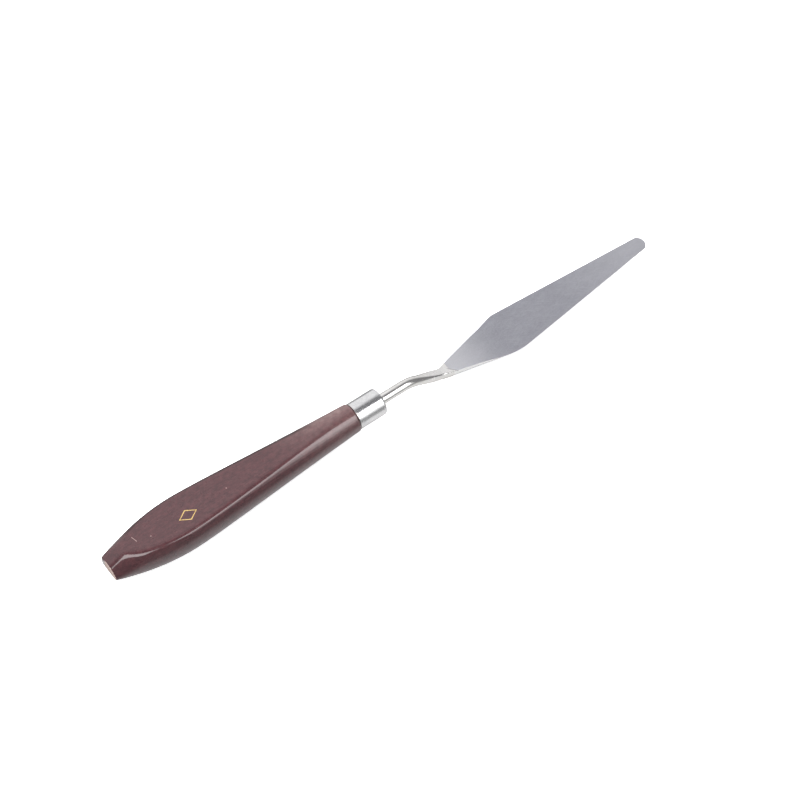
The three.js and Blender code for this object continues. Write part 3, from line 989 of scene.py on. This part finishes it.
def make_ferrule():
    rear, front = HANDLE_LENGTH + FERRULE_GAP, HANDLE_LENGTH + FERRULE_LENGTH
    inner = FERRULE_RADIUS - FERRULE_WALL
    lip, rim = FERRULE_LIP, FERRULE_RIM
    points = [(rear, inner)]
    points += [(rear + lip * a, FERRULE_RADIUS - lip * b) for a, b in quarter_turn(4)]
    points += [(float(x), FERRULE_RADIUS) for x in np.linspace(rear + 0.5, front - rim, 16)]
    points += [(front - rim * b, FERRULE_RADIUS - rim * a) for a, b in quarter_turn(10)[1:]]
    points += [
        (front, 3.3), (front, ROD_HOLE + 0.1), (front - 0.1, ROD_HOLE),
        (front - FERRULE_WALL, ROD_HOLE), (front - FERRULE_WALL, inner - 0.6),
        (front - rim, inner), (rear + 3, inner), (rear, inner),
    ]
    rows = [(x, r, r, 0.0) for x, r in points]
    mesh = grown(
        "ferrule_cup", profile_mesh("ferrule_profile", rows), TURNING,
        rings=len(rows), sides=144, ripple=TURNING_RIPPLE, edge_softness=0.01,
        material=FERRULE_FINISH,
    )
    piece = settled("ferrule_cup", mesh)
    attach(piece, "grip")
    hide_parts("ferrule")
    return piece


# ---- steel ----------------------------------------------------------------------------------


# In the XZ plane: the blade's root, its direction and the direction square to its faces.
ROOT = np.array((ROOT_X, -CRANK_DROP))
BLADE_HEADING = np.array((math.cos(BLADE_PITCH), math.sin(BLADE_PITCH)))
BLADE_LIFT = np.array((-BLADE_HEADING[1], BLADE_HEADING[0]))
BLADE_FLOOR = -ROOT_THICKNESS / 2


def ease(value, low, high):
    t = min(max((value - low) / (high - low), 0.0), 1.0)
    return t * t * (3 - 2 * t)


def blade_half(s, shoulder_round):
    """Half-width of the blade at s, on the side whose shoulder has the given rounding."""
    tip_start = BLADE_LENGTH - TIP_ROUND
    back = (SHOULDER_HALF - ROOT_HALF) / SHOULDER_AT
    front = (SHOULDER_HALF - TIP_HALF) / (tip_start - SHOULDER_AT)
    if s >= tip_start:
        return TIP_HALF * math.sqrt(max(0.0, 1 - ((s - tip_start) / TIP_ROUND) ** 2))
    u = s - SHOULDER_AT
    if abs(u) < shoulder_round:
        t = (u / shoulder_round + 1) / 2
        start = SHOULDER_HALF - shoulder_round * back
        end = SHOULDER_HALF - shoulder_round * front
        return start * (1 - t) ** 2 + 2 * t * (1 - t) * SHOULDER_HALF + end * t * t
    return SHOULDER_HALF + (u * back if u < 0 else -u * front)


def wedge_top(s):
    """Height of the forged blade over its middle plane: the wedge, then the leaf."""
    leaf = BLADE_FLOOR + LEAF_THICKNESS
    if s >= WEDGE_END:
        return leaf
    crown = (
        (0.0, -BLADE_FLOOR), (WEDGE_CROWN, -BLADE_FLOOR - WEDGE_CROWN_LOSS), (WEDGE_END, leaf),
    )
    return bezier_at(crown, s)


def blade_top(s):
    """The wedge's upper face after grinding, which eases the hollow where the leaf begins."""
    reach = 2.6 * ease(s, 10.0, 17.0) * (1 - ease(s, 24.0, 30.0))
    steps = np.linspace(-1, 1, 21)
    shares = 1 - steps * steps
    heights = [wedge_top(s + reach * float(step)) for step in steps]
    return float(np.dot(shares, heights) / shares.sum())


def rounded_section(left, right, floor, top, corners):
    """Points (y, n) round a rectangle. The corners are radii, from the low left one round by
    the low right one."""
    most = min(right - left, top - floor) / 2
    radii = [min(r, most) for r in corners]
    arc, flat, wall = 6, 22, 4
    centres = (
        (left + radii[0], floor + radii[0]), (right - radii[1], floor + radii[1]),
        (right - radii[2], top - radii[2]), (left + radii[3], top - radii[3]),
    )
    arcs = []
    for corner, ((y, n), radius) in enumerate(zip(centres, radii)):
        turns = [math.radians(180 + 90 * corner + 90 * i / arc) for i in range(arc + 1)]
        arcs.append([(y + radius * math.cos(a), n + radius * math.sin(a)) for a in turns])
    points = []
    for corner, steps in enumerate((flat, wall, flat, wall)):
        points += arcs[corner]
        (y, n), (next_y, next_n) = arcs[corner][-1], arcs[(corner + 1) % 4][0]
        shares = [i / steps for i in range(1, steps)]
        points += [(y + (next_y - y) * share, n + (next_n - n) * share) for share in shares]
    return points


def shank_stations():
    """Centre points of the rod and the direction there, in the XZ plane, from tang to root."""
    bend = np.array((FIRST_BEND_X, 0.0))
    start = np.array((TANG_START, 0.0))
    down = (ROOT - bend) / np.linalg.norm(ROOT - bend)
    crank = math.atan2(-down[1], down[0])
    first = BEND_RADIUS * math.tan(crank / 2)
    second = BEND_RADIUS * math.tan((crank + BLADE_PITCH) / 2)
    ahead = np.array((1.0, 0.0))
    a, b = bend - ahead * first, bend + down * first
    c, d = ROOT - down * second, ROOT + BLADE_HEADING * second
    near_start = (0, 0.004, 0.012, 0.04, 0.08, 0.12, 0.16, 0.2)
    places = [(start + (a - start) * t, ahead) for t in near_start]
    places += [(start + (a - start) * t, ahead) for t in np.linspace(0.3, 0.99, 24)]

    def arc(p, q, r, count):
        for t in np.linspace(0, 1, count):
            heading = (q - p) * (1 - t) + (r - q) * t
            yield bezier((p, q, r), t), heading / np.linalg.norm(heading)

    places += list(arc(a, bend, b, 22))
    places += [(b + (c - b) * t, down) for t in np.linspace(0.06, 0.94, 14)]
    places += list(arc(c, ROOT, d, 26))
    return places, second


def shank_ring(centre, heading, length, root_reach):
    """One ring of the tang or shank. Each vertex has its place, its place in the straightened
    forging, and how satin, how dressed and how much of an edge it is."""
    flattening = min(max((centre[0] - FIRST_BEND_X) / (ROOT_X - FIRST_BEND_X), 0.0), 1.0)
    half = ROD_RADIUS + (ROOT_HALF - 0.1 - ROD_RADIUS) * flattening
    tall = ROD_RADIUS + (ROOT_THICKNESS / 2 - 0.05 - ROD_RADIUS) * flattening
    if centre[0] < TANG_START + PADDLE_LENGTH:
        share = 1 - ease(centre[0], TANG_START + PADDLE_LENGTH / 2, TANG_START + PADDLE_LENGTH)
        tall += (PADDLE_HALF - ROD_RADIUS) * share
    s = float((centre - ROOT) @ BLADE_HEADING)
    spread = ease(s, -1.5, root_reach)
    near = half + (blade_half(max(s, 0.0), NEAR_SHOULDER_ROUND) - half) * spread
    far = half + (blade_half(max(s, 0.0), FAR_SHOULDER_ROUND) - half) * spread
    radius = min(half, tall) * (1 - 0.62 * ease(flattening, 0.15, 0.9))
    low = radius + (LOWER_ROUND - radius) * spread
    crisp = radius + (UPPER_ROUND - radius) * spread
    shrink = 0.75 + 0.25 * ease(centre[0], TANG_START - 0.01, TANG_START + 0.5)
    section = rounded_section(
        -near * shrink, far * shrink, -tall * shrink, tall * shrink, (low, low, crisp, crisp)
    )
    normal = np.array((-heading[1], heading[0]))
    shine = 0.22 * ease(flattening, 0.1, 0.8) * (1 - ease(s, 0.0, root_reach))
    ring = []
    for y, n in section:
        place = centre + normal * n
        under = float((place - ROOT) @ BLADE_LIFT)
        along_blade = float((place - ROOT) @ BLADE_HEADING)
        if n < 0 and along_blade > -1.2:
            seat = ease(along_blade, -1.2, 0.4) * min(1.0, -n / tall)
            place = place + BLADE_LIFT * min(0.0, BLADE_FLOOR - under) * seat
        dressed = ease(s, -0.8, 0.2) * (n > 0.5) * ease(1.2 - y, 0.0, 0.8)
        ring.append(((place[0], y, place[1]), (length, y, n), shine * (n > 0.2), dressed, 0.0))
    return ring


def blade_ring(s, length):
    """The same for a ring of the blade at distance s from its root."""
    near, far = blade_half(s, NEAR_SHOULDER_ROUND), blade_half(s, FAR_SHOULDER_ROUND)
    floor, top = BLADE_FLOOR, blade_top(s)
    thin = ease(s, 12.0, WEDGE_END)
    low = LOWER_ROUND - 0.14 * thin
    fuller = 0.22 * ease(s, 5.0, 9.0) * (1 - ease(s, 15.0, WEDGE_END))
    bevel = UPPER_ROUND + fuller - 0.12 * thin
    section = rounded_section(-near, far, floor, top, (low, low, bevel, 0.22 - 0.08 * thin))
    ring = []
    for y, n in section:
        lip = GRIND_START - GRIND_SLANT * y
        upper = ease(n, top - 0.6, top - 0.2)
        ground = ease(s, lip, lip + 0.45) * upper
        x, z = on_blade(s, n - GRIND_DEPTH * ground * (1 - ease(s, 14.0, WEDGE_END)))
        under = 1 - ease(n, floor + 0.1, floor + 0.3)
        satin = max(ground, under * ease(s, 3.0, 5.0))
        dressed = (1 - ease(s, lip - 0.3, lip)) * upper * ease(1.2 - y, 0.0, 0.8)
        side_wall = 0.3
        if thin < 1:
            side_wall = ease(n, floor, floor + 0.35) * (1 - ease(n, top - 0.25, top))
        rim = ease(abs(y) / max(near, far), 1 - 0.12 / max(near, 0.6), 1.0)
        edge = rim * ease(s, 3.2, 4.2) * side_wall
        ring.append(((x, y, z), (length, y, n), satin, dressed, edge))
    return ring


def make_steel():
    places, root_reach = shank_stations()
    rings = []
    length = 0.0
    previous = places[0][0]
    for centre, heading in places:
        length += float(np.linalg.norm(centre - previous))
        previous = centre
        rings.append(shank_ring(centre, heading, length, root_reach))
    at_root = length - root_reach

    wedge = np.arange(root_reach + 0.2, WEDGE_END + 2, 0.2)
    leaf = np.linspace(WEDGE_END + 2.5, BLADE_LENGTH - TIP_ROUND, 110)
    turns = np.linspace(0.08, 1.545, 18)
    tip = [BLADE_LENGTH - TIP_ROUND + TIP_ROUND * math.sin(turn) for turn in turns]
    rings += [blade_ring(float(s), at_root + float(s)) for s in [*wedge, *leaf, *tip]]

    count = len(rings[0])
    vertices = [vertex for ring in rings for vertex in ring]
    last = len(vertices) - count
    faces = []
    for start in range(0, last, count):
        for i in range(count):
            j = (i + 1) % count
            faces.append((start + i, start + j, start + count + j, start + count + i))
    for ring, start, order in ((rings[0], 0, -1), (rings[-1], last, 1)):
        hub = len(vertices)
        middle = tuple(np.mean([vertex[0] for vertex in ring], axis=0))
        vertices.append((middle, *ring[0][1:]))
        rim = [(start + i, start + (i + 1) % count) for i in range(count)]
        faces += [(hub, a, b)[::order] for a, b in rim]

    mesh = bpy.data.meshes.new("steel_forging")
    mesh.from_pydata([vertex[0] for vertex in vertices], [], faces)
    mesh.materials.append(STEEL)
    for column, label in enumerate(("satin", "dressed", "edge"), start=2):
        keep(mesh, label, [float(vertex[column]) for vertex in vertices])
    from_root = np.array([vertex[1] for vertex in vertices], np.float32)
    from_root[:, 0] -= at_root
    piece = settled("steel_forging", mesh, from_root)

    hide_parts("tang_and_shank", "blade")
    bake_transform(piece)
    return piece


# ---- foil mark ------------------------------------------------------------------------------


def make_foil():
    start = bpy.data.meshes.new("foil_start")
    mesh = grown(
        "foil_lozenge", start, foil_tree(), long=FOIL_LONG, wide=FOIL_WIDE, line=FOIL_LINE,
        thickness=FOIL_THICKNESS, place=(FOIL_AT[0], FOIL_AT[1], TOP_FLAT + 0.01), material=FOIL,
    )
    piece = settled("foil_lozenge", mesh)
    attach(piece, "grip")
    return piece


make_handle()
make_ferrule()
make_steel()
make_foil()

adhesive = frame["nodes"]["tang_adhesive"].data.materials
if len(adhesive) == 0:
    adhesive.append(EPOXY)
else:
    for index in range(len(adhesive)):
        adhesive[index] = EPOXY

# ---- floor, light and camera ----------------------------------------------------------------

FLOOR_HALF = 6.0
BESIDE_KNIFE = (0.034, 0.014)  # nearer the middle line than this, the floor is paler and glows to glossy rays, a painted glow for the knife's reflections

ROOM_NEAR = (0.27, 0.27, 0.28, 1)
ROOM_FAR = (1.1, 1.1, 1.115, 1)

KEY_DISTANCE = 2.2
KEY_WIDTH = 1.25
KEY_HEADING = (0.423, -0.906)  # plan direction of the key light, as seen from the knife

# Rows of the key light: lowest and highest elevation in degrees, and radiance.
KEY_ROWS = ((34, 58.5, 4.6), (21, 34, 2.7), (6, 21, 0.8))

# Other panels: direction from the knife, distance, width, height, radiance, and whether they
# light the matt surfaces or show in the gloss.
PANELS = {
    "side_panel": ((-0.50, -0.45, 0.74), KEY_DISTANCE, 1.9, 1.25, 5.0, "gloss"),
    "overhead": ((0.0, 0.1, 1.0), 2.4, 2.6, 2.6, 5.4, "matt"),
    "front_fill": ((-0.15, -1.0, 0.22), 2.4, 2.4, 1.2, 3.2, "matt"),
}


def make_floor():
    """A floor that is white to the camera and darker to the light that it throws back."""
    mesh = bpy.data.meshes.new("studio_floor")
    h = FLOOR_HALF
    corners = [(-h, -h, 0), (h, -h, 0), (h, h, 0), (-h, h, 0)]
    mesh.from_pydata(corners, [], [(0, 1, 2, 3)])
    material, tree, shader = new_finish(
        "pale_floor", Roughness=0.85, Specular_IOR_Level=0.2, Emission_Strength=1.0
    )
    place = put(tree, "ShaderNodeTexCoord").outputs["Object"]
    white = grey(fade(noise(place, 60.0, 3.0), 0.2, 0.8, 0.92, 0.94))
    ray = put(tree, "ShaderNodeLightPath").outputs
    # Painted light: beside the knife the floor glows to glossy rays, which brightens the knife's
    # reflections.
    beside = fade(maths("ABSOLUTE", parts_of(place)["Y"]), *BESIDE_KNIFE)
    bounce = mix(ray["Is Glossy Ray"], grey(0.24), mix(beside, grey(0.17), grey(0.36)))
    glow = mix(ray["Is Glossy Ray"], grey(0.0), mix(beside, grey(0.02), grey(0.30)))
    feed(
        shader,
        Base_Color=mix(ray["Is Camera Ray"], bounce, white),
        Emission_Color=mix(ray["Is Camera Ray"], glow, grey(0.8)),
    )
    mesh.materials.append(material)
    floor = in_scene("studio_floor", mesh)
    floor.location.z = -0.0002


def aim(thing, place, direction, axis):
    """Moves a light or camera to a place and turns its own axis along the direction."""
    thing.location = place
    thing.rotation_mode = "QUATERNION"
    thing.rotation_quaternion = direction.to_track_quat(axis, "Y")


def softbox(name, heading, distance, width, height, radiance):
    """A flat soft light of the given radiance that faces the knife and isn't seen itself."""
    lamp = bpy.data.lights.new(name, "AREA")
    lamp.shape = "RECTANGLE"
    lamp.size, lamp.size_y = width, height
    lamp.energy = radiance * math.pi * width * height
    holder = in_scene(name, lamp)
    heading = Vector(heading).normalized()
    aim(holder, heading * distance, heading, "Z")
    holder.visible_camera = False
    return holder


def make_lights():
    """A key light graded from top to bottom and a side panel, which the gloss shows, and an
    overhead light and a front fill for the matt surfaces."""
    for row, (low, high, radiance) in enumerate(KEY_ROWS):
        middle, half = math.radians((low + high) / 2), math.radians((high - low) / 2)
        level = math.cos(middle)
        heading = (KEY_HEADING[0] * level, KEY_HEADING[1] * level, math.sin(middle))
        height = 2 * KEY_DISTANCE * math.tan(half)
        panel = softbox(f"key_panel_{row}", heading, KEY_DISTANCE, KEY_WIDTH, height, radiance)
        panel.visible_diffuse = False
    for name, (heading, distance, width, height, radiance, purpose) in PANELS.items():
        panel = softbox(name, heading, distance, width, height, radiance)
        if purpose == "gloss":
            panel.visible_diffuse = False
        else:
            panel.visible_glossy = False


def make_room():
    """Soft light from all round, brighter from the far side, and nearly white to the camera."""
    world = bpy.data.worlds.new("studio")
    bpy.context.scene.world = world
    world.use_nodes = True
    tree = world.node_tree
    sky = next(n for n in tree.nodes if n.type == "BACKGROUND")
    sky.inputs["Strength"].default_value = 1.0
    heading = put(tree, "ShaderNodeTexCoord").outputs["Generated"]
    room = mix(fade(parts_of(heading)["Y"], 0.0, 0.5), ROOM_NEAR, ROOM_FAR)
    seen_directly = put(tree, "ShaderNodeLightPath").outputs["Is Camera Ray"]
    feed(sky, Color=mix(seen_directly, room, grey(0.93)))
    bpy.context.scene.view_settings.view_transform = "Standard"


make_floor()
make_lights()
make_room()

CAMERA_AZIMUTH = -36.357
CAMERA_ELEVATION = 55.276
CAMERA_DISTANCE = 0.90364
CAMERA_AIM = Vector((0.003730, -0.002516, 0.005128))
CAMERA_LENS = 119.005


def make_camera():
    lens = bpy.data.cameras.new("studio_camera")
    lens.sensor_width = 36.0
    lens.lens = CAMERA_LENS
    lens.clip_start, lens.clip_end = 0.05, 50.0
    camera = in_scene("studio_camera", lens)
    a, e = math.radians(CAMERA_AZIMUTH), math.radians(CAMERA_ELEVATION)
    back = Vector((math.sin(a) * math.cos(e), -math.cos(a) * math.cos(e), math.sin(e)))
    aim(camera, CAMERA_AIM + back * CAMERA_DISTANCE, -back, "-Z")
    bpy.context.scene.camera = camera


make_camera()
